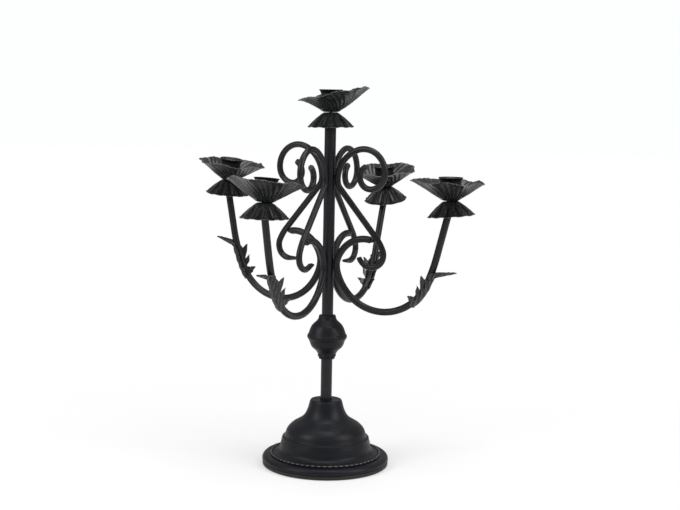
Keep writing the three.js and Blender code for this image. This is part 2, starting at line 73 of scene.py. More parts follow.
BLACK = (0, 0, 0)
WHITE = (1, 1, 1)
BLOTCH_SCALE = 38
SPECK_SCALE = 420
GLOSS_SCALE = 90
GLOSS_SPREAD = (-0.06, 0.08)
GRAIN_SCALE = 700
SPUN_GRAIN_SCALE = 60
SPUN_STRETCH = (1, 1, 60)  # draws the grain out into rings around the axis
GRAIN_DEPTH = 0.0002  # metres
MIX_A, MIX_B, MIX_RESULT = 6, 7, 2  # the colour sockets of a Mix node


def nodes_of(material):
    """The material's node tree, emptied."""
    material.use_nodes = True
    tree = material.node_tree
    tree.nodes.clear()
    return tree


def add(tree, kind, **values):
    node = tree.nodes.new(kind)
    for key, value in values.items():
        setattr(node, key, value)
    return node


def ramp(tree, source, span, low, high):
    """The colour low below the span, the colour high above it, and a blend inside it."""
    node = add(tree, "ShaderNodeValToRGB")
    for element, position, colour in zip(node.color_ramp.elements, span, (low, high)):
        element.position = position
        element.color = (*colour, 1)
    tree.links.new(source, node.inputs["Fac"])
    return node.outputs["Color"]


def noise_node(tree, scale, detail, stretch=(1, 1, 1)):
    """Noise that is fixed to the object, finer along an axis that is stretched."""
    place = add(tree, "ShaderNodeTexCoord")
    mapping = add(tree, "ShaderNodeMapping")
    mapping.inputs["Scale"].default_value = stretch
    tree.links.new(place.outputs["Object"], mapping.inputs["Vector"])
    node = add(tree, "ShaderNodeTexNoise")
    node.inputs["Scale"].default_value = scale
    node.inputs["Detail"].default_value = detail
    tree.links.new(mapping.outputs["Vector"], node.inputs["Vector"])
    return node.outputs["Fac"]


def paint(
    name, dark, light, rough, worn, bump=0.25, spun=False, metallic=0.0, specular=0.3, rubbed=(0.52, 0.62)
):
    """A satin finish on metal: uneven colour and gloss, rubbed edges and a faint surface grain."""
    material = bpy.data.materials.new(name)
    tree = nodes_of(material)
    out = add(tree, "ShaderNodeOutputMaterial")
    shader = add(tree, "ShaderNodeBsdfPrincipled")
    shader.inputs["Metallic"].default_value = metallic
    shader.inputs["Specular IOR Level"].default_value = specular
    tree.links.new(shader.outputs["BSDF"], out.inputs["Surface"])

    blotch = ramp(tree, noise_node(tree, BLOTCH_SCALE, 4), (0.35, 0.7), dark, light)
    geometry = add(tree, "ShaderNodeNewGeometry")
    edge = ramp(tree, geometry.outputs["Pointiness"], rubbed, BLACK, WHITE)
    speck = ramp(tree, noise_node(tree, SPECK_SCALE, 3), (0.35, 0.62), BLACK, WHITE)
    wear = add(tree, "ShaderNodeMath", operation="MULTIPLY")
    tree.links.new(edge, wear.inputs[0])
    tree.links.new(speck, wear.inputs[1])
    mix = add(tree, "ShaderNodeMix", data_type="RGBA")
    tree.links.new(wear.outputs[0], mix.inputs["Factor"])
    tree.links.new(blotch, mix.inputs[MIX_A])
    mix.inputs[MIX_B].default_value = (*worn, 1)
    tree.links.new(mix.outputs[MIX_RESULT], shader.inputs["Base Color"])

    smoothest, roughest = ((rough + spread,) * 3 for spread in GLOSS_SPREAD)
    gloss = ramp(tree, noise_node(tree, GLOSS_SCALE, 3), (0.3, 0.75), smoothest, roughest)
    tree.links.new(gloss, shader.inputs["Roughness"])

    stretch = SPUN_STRETCH if spun else (1, 1, 1)
    grain = noise_node(tree, SPUN_GRAIN_SCALE if spun else GRAIN_SCALE, 2, stretch)
    relief = add(tree, "ShaderNodeBump")
    relief.inputs["Strength"].default_value = bump
    relief.inputs["Distance"].default_value = GRAIN_DEPTH
    tree.links.new(grain, relief.inputs["Height"])
    tree.links.new(relief.outputs["Normal"], shader.inputs["Normal"])
    return material


ROD_PAINT = paint(
    "rod_paint", (0.0055, 0.0057, 0.0075), (0.011, 0.011, 0.014), 0.36, (0.04, 0.04, 0.04), specular=0.27
)
SPUN_PAINT = paint(
    "spun_paint", (0.0045, 0.0050, 0.0075), (0.0075, 0.0081, 0.0115), 0.42, (0.03, 0.03, 0.035),
    bump=0.15, spun=True, specular=0.2,
)
FLOWER_PAINT = paint(
    "flower_paint", (0.0035, 0.0040, 0.0042), (0.015, 0.016, 0.016), 0.30, (0.09, 0.091, 0.086),
    specular=0.42, rubbed=(0.507, 0.56),
)
LEAF_PAINT = paint(
    "leaf_paint", (0.0035, 0.0038, 0.0038), (0.012, 0.0125, 0.0125), 0.30, (0.075, 0.076, 0.072),
    specular=0.45, rubbed=(0.507, 0.57),
)
# Lighter paint that puts a painted highlight on the top of each bead.
BEAD_HIGHLIGHT_PAINT = paint(
    "bead_highlight_paint", (0.016, 0.016, 0.014), (0.085, 0.085, 0.075), 0.34, (0.2, 0.2, 0.18), specular=0.5
)
BAND_PAINT = paint(
    "band_paint", (0.011, 0.010, 0.008), (0.020, 0.019, 0.014), 0.5, (0.06, 0.06, 0.05), bump=0.5
)
STEEL = paint(
    "plain_steel", (0.36, 0.36, 0.37), (0.45, 0.45, 0.46), 0.34, (0.6, 0.6, 0.6), bump=0.2, metallic=1.0
)


# ---- Helpers -------------------------------------------------------------------------------

SAME_POINT = 1e-6  # metres


def piece(name, verts, faces, material, replaces=(), sharp=38, place=None):
    """A closed mesh from millimetre points, smooth but for its sharp edges, riding on the frame."""
    mesh = bpy.data.meshes.new(name)
    mesh.from_pydata([Vector(v) * MM for v in verts], [], faces)
    work = bmesh.new()
    work.from_mesh(mesh)
    bmesh.ops.remove_doubles(work, verts=work.verts, dist=SAME_POINT)
    bmesh.ops.recalc_face_normals(work, faces=work.faces)
    if place is not None:
        metres = place.copy()
        metres.translation = place.translation * MM
        bmesh.ops.transform(work, matrix=metres, verts=work.verts)
    for face in work.faces:
        face.smooth = True
    for edge in work.edges:
        if len(edge.link_faces) == 2 and edge.calc_face_angle() > math.radians(sharp):
            edge.smooth = False
    work.to_mesh(mesh)
    work.free()
    mesh.materials.append(material)
    obj = bpy.data.objects.new(name, mesh)
    bpy.context.scene.collection.objects.link(obj)
    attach(obj, "root")
    if replaces:
        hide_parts(*replaces)
    return obj


def grid_faces(rows, columns, closed_rows=False, closed_columns=True):
    """Four-sided faces over a grid of points that are numbered row by row."""
    faces = []
    for row in range(rows if closed_rows else rows - 1):
        for column in range(columns if closed_columns else columns - 1):
            after = (column + 1) % columns
            below = (row + 1) % rows
            faces.append((
                row * columns + column, row * columns + after,
                below * columns + after, below * columns + column,
            ))
    return faces


def turned(outline, segments, shift=None):
    """Points and faces of a closed outline of (radius, height) turned about Z."""
    verts = []
    for radius, height in outline:
        for step in range(segments):
            angle = 2 * math.pi * step / segments
            r, z = (radius, height) if shift is None else shift(radius, height, angle)
            verts.append((r * math.cos(angle), r * math.sin(angle), z))
    return verts, grid_faces(len(outline), segments, closed_rows=True)


def raised(base, points):
    """(radius, height) points whose heights are counted from a base."""
    return [(radius, base + height) for radius, height in points]


def rounded(points, steps=5):
    """A smooth run through the given (radius, height) points, as a Catmull-Rom spline."""
    ends = [points[0], *points, points[-1]]
    run = []
    for a, b, c, d in zip(ends, ends[1:], ends[2:], ends[3:]):
        for step in range(steps):
            t = step / steps
            run.append(tuple(
                0.5 * (2 * q + (r - p) * t + (2 * p - 5 * q + 4 * r - s) * t * t
                       + (3 * q - p - 3 * r + s) * t ** 3)
                for p, q, r, s in zip(a, b, c, d)
            ))
    run.append(points[-1])
    return run


def walled(outside, wall):
    """The outline of a sheet: its outside, and the same moved in by the wall."""
    inside = []
    for index, point in enumerate(outside):
        before = outside[max(index - 1, 0)]
        after = outside[min(index + 1, len(outside) - 1)]
        run = math.hypot(after[0] - before[0], after[1] - before[1]) or 1
        inside.append((
            point[0] - wall * (after[1] - before[1]) / run,
            point[1] + wall * (after[0] - before[0]) / run,
        ))
    return list(outside) + inside[::-1]


def sharpened(wave, power):
    """A wave with flatter crests and steeper flanks."""
    return math.copysign(abs(wave) ** power, wave)


def dents(angle, scale, seed):
    """An uneven value from -1 to 1 that closes up around the axis."""
    return noise.noise(Vector((scale * math.cos(angle), scale * math.sin(angle), seed)))


# ---- Bent rods -----------------------------------------------------------------------------

GAP = 0.3
POST_RADIUS = 6.75
ARM_RADIUS = 4.1
SCROLL_RADIUS = 3.65
ARM_WELD_HEIGHT = 242.9
SCROLL_WELD_HEIGHT = 342.3
HOLDER_HEIGHT = 323.9
ARM_END_BEND = 20
ARM_END_STRAIGHT = 4.5
ARM_HOOK = [(18, -18), (39, -57), (33, -50)]  # radius and turn in degrees
ARM_BOWL = [(34, 19), (60, 66)]
ARM_BOWL_RISE = 69
ARM_STEM_BEND = 180
SCROLL_UPPER_CURL = [(38, -70), (27, -112), (19, -82), (13.7, -160)]
SCROLL_LOWER_CURL = [(15, 41), 71.5, (59, -17), (15, -90)]  # a bare number is a length
SCROLL_END_RADIUS = 17

ROD_PACE = 1.2  # longest step along a run of bends
ROD_SIDES = 20
ROD_UNEVEN = 0.018  # share of the radius
ROD_DENT_SCALE = 0.09
ROD_END_TRIM = 0.86
BEATEN_REACH = 16  # length of the flat that is beaten at a scroll's lower end
BEATEN_SPREAD = 0.3
HOOK_PACE = 0.25
HOOK_FREE_LENGTH = 40  # the hook can't meet the scroll before this
HOOK_NEAR = 0.85  # share of the arm's radius that is left between scroll and hook for the weld

ARM_WELD_SIZE = (1.7, 2.6, 5.6)  # half sizes outwards, across and up
SCROLL_WELD_SIZE = (1.6, 2.3, 5.2)
HOOK_WELD_SIZE = (3.3, 2.7, 2.5)
HOOK_WELD_SHIFT = (1.2, -0.4)  # outwards and up from the end of the hook
WELD_STAND_OFF = 0.5
WELD_LUMPS = 0.14
WELD_LUMP_SCALE = 2.2
WELD_RIPPLES = 0.05
WELD_RIPPLE_COUNT = 9

# What differs from arm to arm. The azimuth, leans, tilt and curl are in degrees, the rest are lengths.
# Curl and tail are the turn of the scroll's last bend and the straight end after it.
Arm = namedtuple(
    "Arm", "azimuth lift scroll_lift rise bowl stem_lean flower_lean leaf_shift skirt_tilt curl tail"
)
ARMS = {
    "right_front": Arm(-27.5, -0.5, -0.5, 0, 63, 14.5, 0, 0, -5.5, 93, 0),
    "left_front": Arm(-117, -1.5, -1, 0, 63, 12, -8, 4, 6, 45, 9),
    "left_back": Arm(147, 3, 2, 9, 62.2, 11, -8, 13, 3, 26, 10),
    "right_back": Arm(63, -1, -2.5, 0, 56, 19.5, -6, -6, -6, 28, 12),
}


def walk(start, heading, bends, stop=None, pace=ROD_PACE):
    """Points (x, z, heading, distance) along a run of bends, close together."""
    x, z = start
    run = [(x, z, heading, 0.0)]
    gone = 0.0
    for bend in bends:
        straight = not isinstance(bend, tuple)
        length = bend if straight else bend[0] * math.radians(abs(bend[1]))
        if stop is not None:
            length = min(length, stop - gone)
        if length <= 1e-6:
            continue
        count = max(int(length / pace), 1)
        for _ in range(count):
            step = length / count
            turned_by = 0 if straight else math.copysign(step / bend[0], bend[1])
            middle = heading + turned_by / 2
            chord = step if straight else 2 * bend[0] * math.sin(abs(turned_by) / 2)
            x += chord * math.cos(middle)
            z += chord * math.sin(middle)
            heading += turned_by
            gone += step
            run.append((x, z, heading, gone))
    return run


def arm_bends(spec, weld):
    """The arm below its weld, with a straight stem just long enough to reach the holder."""
    heading = 90 - spec.stem_lean
    bends = [*ARM_BOWL, (spec.bowl, ARM_BOWL_RISE)]
    bends.append((ARM_STEM_BEND, heading + 90 - sum(turn for _, turn in bends)))
    end = [(ARM_END_BEND, spec.stem_lean - spec.flower_lean), ARM_END_STRAIGHT]
    without_stem = walk(weld, -math.pi / 2, [*bends, *end])
    shortfall = HOLDER_HEIGHT + spec.rise - without_stem[-1][1]
    return [*bends, shortfall / math.sin(math.radians(heading)), *end]


def both_ways(weld, up, down, up_stop=None):
    """One run from the far end of the upper bends, through the weld, to the end of the lower."""
    above = walk(weld, math.pi / 2, up, up_stop)
    below = walk(weld, -math.pi / 2, down)
    first = [(x, z, heading + math.pi, -gone) for x, z, heading, gone in reversed(above)]
    return first[:-1] + below


def hook_stop(weld, scroll):
    """How far the hook runs before its end meets the scroll."""
    for x, z, _, gone in walk(weld, math.pi / 2, ARM_HOOK, pace=HOOK_PACE):
        if gone > HOOK_FREE_LENGTH:
            near = min(math.hypot(x - p[0], z - p[1]) for p in scroll)
            if near < SCROLL_RADIUS + ARM_RADIUS * HOOK_NEAR:
                return gone
    return None


def rod_mesh(run, radius, azimuth, seed, flat_end=0.0):
    """A forged round rod: slightly uneven, and beaten flat and wide towards its end if asked."""
    verts = []
    total = run[-1][3] - run[0][3]
    across = Vector((-math.sin(azimuth), math.cos(azimuth), 0))
    outwards = Vector((math.cos(azimuth), math.sin(azimuth), 0))
    count = len(run)
    for index, (x, z, heading, gone) in enumerate(run):
        from_end = total - (gone - run[0][3])
        flat = flat_end * max(1 - from_end / BEATEN_REACH, 0)
        normal = outwards * -math.sin(heading) + UP * math.cos(heading)
        centre = outwards * x + UP * z
        trim = ROD_END_TRIM if index in (0, count - 1) else 1.0
        for side in range(ROD_SIDES):
            angle = 2 * math.pi * side / ROD_SIDES
            place = Vector((gone * ROD_DENT_SCALE, math.cos(angle) * 0.9, seed))
            size = radius * (1 + ROD_UNEVEN * noise.noise(place)) * trim
            verts.append(
                centre
                + normal * (size * (1 - flat) * math.cos(angle))
                + across * (size * (1 + BEATEN_SPREAD * flat) * math.sin(angle))
            )
    faces = grid_faces(count, ROD_SIDES)
    faces.append(tuple(range(ROD_SIDES))[::-1])
    faces.append(tuple((count - 1) * ROD_SIDES + side for side in range(ROD_SIDES)))
    return verts, faces


def bead_of_weld(name, centre, size, azimuth, seed):
    """A lump of weld metal: a rippled, flattened ball."""
    work = bmesh.new()
    bmesh.ops.create_icosphere(work, subdivisions=3, radius=1)
    spin = Matrix.Rotation(azimuth, 3, "Z")
    for vert in work.verts:
        ripple = 1 + WELD_LUMPS * noise.noise(vert.co * WELD_LUMP_SCALE + Vector((seed, 0, 0)))
        ripple += WELD_RIPPLES * math.sin(WELD_RIPPLE_COUNT * vert.co.z)
        local = Vector((vert.co.x * size[0], vert.co.y * size[1], vert.co.z * size[2])) * ripple
        vert.co = spin @ local + centre
    verts = [vert.co.copy() for vert in work.verts]
    faces = [tuple(vert.index for vert in face.verts) for face in work.faces]
    work.free()
    piece(name, verts, faces, ROD_PAINT, sharp=60)


# ---- Leaf ----------------------------------------------------------------------------------

SHEET = 0.8  # thickness of the leaves and the flowers
LEAF_START = 127  # along the arm from its weld
LEAF_BODY = 40  # the length that is wrapped round the arm
LEAF_LENGTH = 75
LEAF_BEND = 9  # length of the bend that turns the tongue off the arm
LEAF_CURL = 52  # degrees of that bend
LEAF_HALF_WIDTH = 16.5
LEAF_CLEARANCE = 0.25
LEAF_ROWS = 150
LEAF_COLUMNS = 34
LEAF_FLARE = 26  # degrees that the free edge stands out from the wrap round the arm
LEAF_EDGE_FLARE = 16  # degrees more, reached this far from the wrap:
LEAF_FLARE_REACH = 8
LOBE_SWEEP = 0.25  # how far the free edge is swept on, for each millimetre that it is wide
BARB_SWEEP = 0.5  # the same again on the barbs, coming in between these places:
BARB_START = 10
BARB_REACH = 8
VEIN_PITCH = 4.2
VEIN_SLANT = 0.42
VEIN_DEPTH = 0.8
RIB_HEIGHT = 0.6
RIB_HALF_WIDTH = 1.2
LEAF_DENTS = 0.3
# distance along the leaf and share of the half width: a round lobe, two barbs and the tongue
LEAF_EDGE = [
    (0, 0.34), (2, 0.52), (3.6, 0.84), (5.6, 0.98), (7.6, 0.94), (9.2, 0.76), (11, 0.56), (13, 0.52),
    (16, 0.74), (19.4, 1.02), (20.0, 0.76), (21.4, 0.54), (25, 0.66), (29, 0.82), (33.3, 1.0),
    (33.9, 0.74), (35.4, 0.54), (38, 0.50), (43, 0.48), (52, 0.43), (58, 0.37), (64, 0.30),
    (70, 0.21), (73.6, 0.12), (75, 0.03),
]


def between(table, value):
    """The table's value at a place between two of its rows."""
    for (x0, y0), (x1, y1) in zip(table, table[1:]):
        if value <= x1:
            return y0 + (y1 - y0) * (value - x0) / (x1 - x0)
    return table[-1][1]


def place_on(run, distance):
    """The point of a run at a distance along it."""
    for before, after in zip(run, run[1:]):
        if after[3] >= distance:
            share = (distance - before[3]) / max(after[3] - before[3], 1e-9)
            return tuple(b + (a - b) * share for b, a in zip(before, after))
    return run[-1]


def tongue(distance):
    """How far on, how far out and how much turned the leaf is past the end of its body."""
    past = max(distance - LEAF_BODY, 0)
    curl_radius = LEAF_BEND / math.radians(LEAF_CURL)
    angle = min(past, LEAF_BEND) / curl_radius
    rest = max(past - LEAF_BEND, 0)
    on = curl_radius * math.sin(angle) + rest * math.cos(angle)
    out = curl_radius * (1 - math.cos(angle)) + rest * math.sin(angle)
    return on, out, angle


def leaf_sheet(run, start, azimuth, seed, skin):
    """One face of the leaf, which is wrapped half round the arm and flares out past it."""
    rod = ARM_RADIUS + LEAF_CLEARANCE
    wrap = rod * math.pi / 2
    spin = Matrix.Rotation(azimuth, 3, "Z")
    verts = []
    for row in range(LEAF_ROWS):
        distance = LEAF_LENGTH * row / (LEAF_ROWS - 1)
        half = LEAF_HALF_WIDTH * between(LEAF_EDGE, distance)
        x, z, heading, _ = place_on(run, start + min(distance, LEAF_BODY))
        on, out, curl = tongue(distance)
        share = max(distance - LEAF_BODY, 0) / (LEAF_LENGTH - LEAF_BODY)
        swept = LOBE_SWEEP + BARB_SWEEP * min(max(distance - BARB_START, 0) / BARB_REACH, 1)
        for column in range(LEAF_COLUMNS):
            wide = (2 * column / (LEAF_COLUMNS - 1) - 1) * half
            angle = min(abs(wide), wrap) / rod * (1 - 0.15 * share)
            past = max(abs(wide) - wrap, 0)
            vein = math.sin(2 * math.pi * (abs(wide) - VEIN_SLANT * distance) / VEIN_PITCH)
            relief = VEIN_DEPTH * vein * min(abs(wide) / 3.0, 1) * (1 - 0.6 * share)
            relief += RIB_HEIGHT * math.exp(-(wide / RIB_HALF_WIDTH) ** 2)
            relief += LEAF_DENTS * noise.noise(Vector((distance * 0.2, wide * 0.3, seed)))
            radius = rod + skin + relief
            flare = math.radians(LEAF_FLARE + LEAF_EDGE_FLARE * min(past / LEAF_FLARE_REACH, 1))
            rise = radius * math.cos(angle) - past * math.cos(flare)
            rise -= VEIN_DEPTH * vein * min(past / 4, 1)
            side = math.copysign(radius * math.sin(angle) + past * math.sin(flare), wide)
            outwards = out + rise * math.cos(curl)
            onwards = on - rise * math.sin(curl) + swept * past * (1 - share)
            verts.append(spin @ Vector((
                x + outwards * math.sin(heading) + onwards * math.cos(heading),
                side,
                z - outwards * math.cos(heading) + onwards * math.sin(heading),
            )))
    return verts


def leaf(side, run, start, azimuth, seed):
    """A stamped leaf: two faces, closed along their edges."""
    verts = leaf_sheet(run, start, azimuth, seed, 0) + leaf_sheet(run, start, azimuth, seed, SHEET)
    size = LEAF_ROWS * LEAF_COLUMNS
    inner = grid_faces(LEAF_ROWS, LEAF_COLUMNS, closed_columns=False)
    faces = [face[::-1] for face in inner]
    faces += [tuple(index + size for index in face) for face in inner]
    for row in range(LEAF_ROWS - 1):
        low, high = row * LEAF_COLUMNS, (row + 1) * LEAF_COLUMNS
        faces.append((low, high, high + size, low + size))
        low, high = low + LEAF_COLUMNS - 1, high + LEAF_COLUMNS - 1
        faces.append((low, low + size, high + size, high))
    for column in range(LEAF_COLUMNS - 1):
        faces.append((column, column + size, column + 1 + size, column + 1))
        last = (LEAF_ROWS - 1) * LEAF_COLUMNS + column
        faces.append((last, last + 1, last + 1 + size, last + size))
    piece(f"leaf_{side}_stamped", verts, faces, LEAF_PAINT, (f"leaf_{side}",), sharp=50)


# ---- Flowers -------------------------------------------------------------------------------

SKIRT_DISC = GAP
PAN_DISC = SKIRT_DISC + SHEET + GAP
CUP_SEAT = PAN_DISC + SHEET + GAP
SCREW_HOLE = 2.0  # radius

PAN_BOWL = 12.5  # radius at which the petals start
PAN_RADIUS = 40
PAN_RISE = 19.5
PAN_PROFILE = [
    (SCREW_HOLE, 0), (7.6, 0.1), (10.5, 1.0), (13.5, 3.2), (20, 7.6), (27, 12.0), (34, 16.2),
    (PAN_RADIUS, PAN_RISE),
]
PAN_SEGMENTS = 204
PETALS = 6
PETAL_REACH = 2.4
PETAL_LIFT = 2.3
PETAL_DROOP = 0.8
PLEATS = 34
PLEAT_DEPTH = 0.85
PLEAT_UNEVEN = 0.3
PAN_EDGE = 0.86  # share of the way out at which the edge turns down
PAN_EDGE_DROP = 0.9
DIP_TOWARDS = 27  # degrees

# How each pan is bent: higher by the tilt and wider by the reach towards one side, turned by the
# spin, and with a dip of its edge between two petals. Towards and spin are in degrees.
PanBend = namedtuple("PanBend", "tilt reach towards spin dip")
PAN_BENDS = {
    "top": PanBend(8, 3.5, 0, 10, 0),
    "right_front": PanBend(1, 4, 180, 15, 0),
    "left_front": PanBend(2.5, 0.5, 0, 57, 3.2),
    "left_back": PanBend(1, 1, 180, 18, 0),
    "right_back": PanBend(2, 1, 0, 25, 0),
}

SKIRT_FOOT = 25.4  # radius
SKIRT_SHOULDER = 9.0
SKIRT_PROFILE = [
    (26.6, -16.5), (SKIRT_FOOT, -16.1), (23.4, -14.4), (18.4, -9.6), (13.6, -5.1), (11.2, -2.6),
    (SKIRT_SHOULDER, -0.6), (7.2, -0.1), (SCREW_HOLE, 0),
]
SKIRT_SEGMENTS = 216
FLUTES = 12
FLUTE_DEPTH = 1.3
SKIRT_HEM = 0.82  # share of the way down at which the flutes fade

CUP_BORE = 11.0  # radius
CUP_WALL = 0.9
CUP_FLOOR = 1.2
CUP_HEIGHT = 25.2
CUP_SEGMENTS = 72


def pan(side, place, seed):
    """A pleated drip pan, its rim cut into petals and bent by hand."""
    bend = PAN_BENDS[side]
    towards, spin = math.radians(bend.towards), math.radians(bend.spin)

    def shift(radius, height, angle):
        share = max(radius - PAN_BOWL, 0) / (PAN_RADIUS - PAN_BOWL)
        lobe = math.cos(PETALS * (angle - spin))
        pointed = lobe if lobe > 0 else sharpened(lobe, 0.6)
        way = math.cos(angle - towards)
        bent = dents(angle, 2.1, seed)
        wave = math.sin(PLEATS * angle + 1.2 * math.sin(3 * angle + seed) + 0.5 * share * seed)
        fine = dents(angle, 13, seed + 5 * share)
        pleat = (PLEAT_DEPTH * sharpened(wave, 0.7) + PLEAT_UNEVEN * fine) * min(share * 3.5, 1)
        pleat *= 1 - 0.75 * share
        radius += (PETAL_REACH * pointed + bend.reach * way + 1.6 * bent) * share ** 2
        height += (PETAL_LIFT - PETAL_DROOP * lobe + bend.tilt * way + 1.2 * bent) * share ** 2 + pleat
        curl = max(share - PAN_EDGE, 0) / (1 - PAN_EDGE)
        height -= PAN_EDGE_DROP * curl ** 2 * (0.6 + 0.4 * lobe)
        height -= bend.dip * max(math.cos(angle - math.radians(DIP_TOWARDS)), 0) ** 6 * share ** 2
        return radius, height

    outline = walled(rounded(raised(PAN_DISC, PAN_PROFILE)), SHEET)
    verts, faces = turned(outline, PAN_SEGMENTS, shift)
    piece(f"pan_{side}_ribbed", verts, faces, FLOWER_PAINT, (f"pan_{side}",), sharp=55, place=place)


def skirt(side, place, tilt, seed):
    """A fluted cone, whose flutes fade a little towards its hem."""

    def shift(radius, height, angle):
        share = max(radius - SKIRT_SHOULDER, 0) / (SKIRT_FOOT - SKIRT_SHOULDER)
        flute = sharpened(math.cos(FLUTES * angle + 0.4 * math.sin(2 * angle + seed)), 0.6)
        hem = max(share - SKIRT_HEM, 0) / (1 - SKIRT_HEM)
        depth = FLUTE_DEPTH * min(share * 2.6, 1) * flute * (1 - 0.4 * min(hem, 1))
        bent = dents(angle, 1.7, seed)
        radius += depth * 0.8 + 0.5 * bent * share
        height += depth * 0.5 + 0.3 * bent * share ** 2
        return radius, height

    outline = walled(rounded(raised(SKIRT_DISC + SHEET, SKIRT_PROFILE)), SHEET)
    verts, faces = turned(outline, SKIRT_SEGMENTS, shift)
    lean = Matrix.Rotation(math.radians(tilt), 4, "Y")
    name = f"skirt_{side}_fluted"
    piece(name, verts, faces, FLOWER_PAINT, (f"skirt_{side}",), sharp=50, place=place @ lean)


def cup(side, place):
    """A turned candle cup with a flared lip."""
    top = CUP_SEAT + CUP_HEIGHT
    body = CUP_BORE + CUP_WALL
    outside = rounded([
        *raised(CUP_SEAT, [(6.4, 0), (7.9, 0.3), (9.6, 1.7), (11.2, 3.9), (body, 6.2)]),
        *raised(top, [(body, -9), (body, -4.6), (12.3, -3.4), (13.3, -1.5), (14.15, -0.25)]),
    ], 4)
    inside = rounded([
        *raised(top, [(13.75, 0), (12.7, -1.3), (11.6, -3.0), (CUP_BORE, -4.2), (CUP_BORE, -10)]),
        *raised(CUP_SEAT, [(CUP_BORE, 6.4), (9.6, 3.3), (7.6, CUP_FLOOR + 0.3), (6.2, CUP_FLOOR)]),
    ], 4)
    outline = [(SCREW_HOLE, CUP_SEAT), *outside, *inside, (SCREW_HOLE, CUP_SEAT + CUP_FLOOR)]
    verts, faces = turned(outline, CUP_SEGMENTS)
    piece(f"cup_{side}_turned", verts, faces, FLOWER_PAINT, (f"cup_{side}",), sharp=40, place=place)


def flower(side, place, skirt_tilt, seed):
    """Skirt, pan and cup on the end of an arm or of the post."""
    skirt(side, place, skirt_tilt, seed)
    pan(side, place, seed + 3)
    cup(side, place)


# ---- Base, post and knop -------------------------------------------------------------------

BASE_SEGMENTS = 160
SPUN_WALL = 1.0

PLATE_TOP = 12
PLATE_RADIUS = 75.8
PLATE_ROUNDING = 5
PLATE_EDGE = [
    (74.2, 0), (75.2, 0.5), (75.45, 1.4), (75.45, 3.7), (75.1, 4.3), (74.6, 4.6), (75.2, 4.9),
    (75.75, 5.6),
]
PLATE_SHOULDER = 66.4  # radius
STUD_HOLE = (3.3, 3.7)  # radius, height of its floor
PLATE_CORE = 0.02  # radius of the hole that keeps the turned outline off the axis
BAND_TOP = 4.5
BAND_INSIDE = 70  # radius

BELL_PROFILE = [
    (63.5, 0), (63.3, 1.1), (61.6, 1.9), (58.2, 3.1), (55.2, 5.4), (54.2, 8.6), (53.9, 12.0),
    (53.2, 15.6), (52.4, 18.4), (52.0, 20.2), (50.4, 21.0), (49.2, 21.8), (48.3, 24.4), (47.2, 28.0),
    (44.8, 32.0), (40.4, 36.2), (34.2, 40.0), (28.8, 43.6), (25.2, 47.8), (22.9, 52.2), (21.3, 56.6),
    (20.1, 61.0), (19.2, 64.2), (18.4, 65.4), (17.0, 66.0), (7.6, 66.0),
]

BEADS = 62
BEAD_RING = 64.9  # radius
BEAD_HEIGHT = 13.35
BEAD_WIRE = 0.42
BEAD_SWELL = 0.66
BEAD_STEPS = 10
BEAD_SIDES = 12
BEAD_HIGHLIGHT_SPAN = (0.2, 0.8)  # share of a bead's length that gets the painted highlight

POST_FOOT = 17.6
POST_TOP = 419.4
POST_WALL = 1.5
POST_EDGE = 0.3
POST_FOOT_EDGE = 0.4
POST_STEPS = 90
POST_SEGMENTS = 48
POST_UNEVEN = 0.05

KNOP_SEAM = 155.0
KNOP_LOWER = [
    (7.1, -27), (9.0, -27), (9.5, -26.5), (9.8, -25.2), (9.5, -24.4), (10.7, -23.8), (11.0, -22.6),
    (10.6, -21.6), (11.2, -20.4), (12.7, -17.8), (15.2, -15.3), (17.9, -12.8), (19.6, -10.0),
    (20.9, -6.4), (22.2, -3.4), (23.5, -1.6), (23.7, -0.12),
]
KNOP_UPPER = [
    (23.7, 0.12), (23.6, 1.4), (22.3, 3.4), (21.2, 6.6), (20.1, 9.6), (18.2, 13.2), (15.2, 16.4),
    (12.6, 18.8), (11.0, 21.0), (10.3, 23.4), (9.9, 25.2), (9.3, 25.6), (7.4, 25.6),
]
KNOP_DISC = [(22.4, -0.75), (22.4, 0.75), (7.1, 0.75), (7.1, -0.75)]
KNOP_SEGMENTS = 96


def plate():
    """The foot plate, with its rounded rim and the bare band at its lowest edge."""
    outline = list(PLATE_EDGE)
    for step in range(1, 13):
        angle = math.radians(90 * step / 12)
        outline.append((
            PLATE_RADIUS - PLATE_ROUNDING + PLATE_ROUNDING * math.cos(angle),
            PLATE_TOP - PLATE_ROUNDING + PLATE_ROUNDING * math.sin(angle),
        ))
    hole, floor_height = STUD_HOLE
    outline += [(PLATE_SHOULDER, PLATE_TOP), (hole, PLATE_TOP), (hole, floor_height)]
    outline += [(PLATE_CORE, floor_height), (PLATE_CORE, 0)]
    verts, faces = turned(outline, BASE_SEGMENTS)
    obj = piece("base_plate_turned", verts, faces, SPUN_PAINT, ("base_plate",), sharp=30)
    obj.data.materials.append(BAND_PAINT)
    for face in obj.data.polygons:
        if face.center.z < BAND_TOP * MM and face.center.xy.length > BAND_INSIDE * MM:
            face.material_index = 1


def bell():
    """The spun bell, open at its foot and drawn in to a neck round the post."""
    outline = walled(rounded(raised(PLATE_TOP + GAP, BELL_PROFILE)), SPUN_WALL)
    verts, faces = turned(outline, BASE_SEGMENTS)
    piece("base_bell_spun", verts, faces, SPUN_PAINT, ("base_bell",), sharp=42)


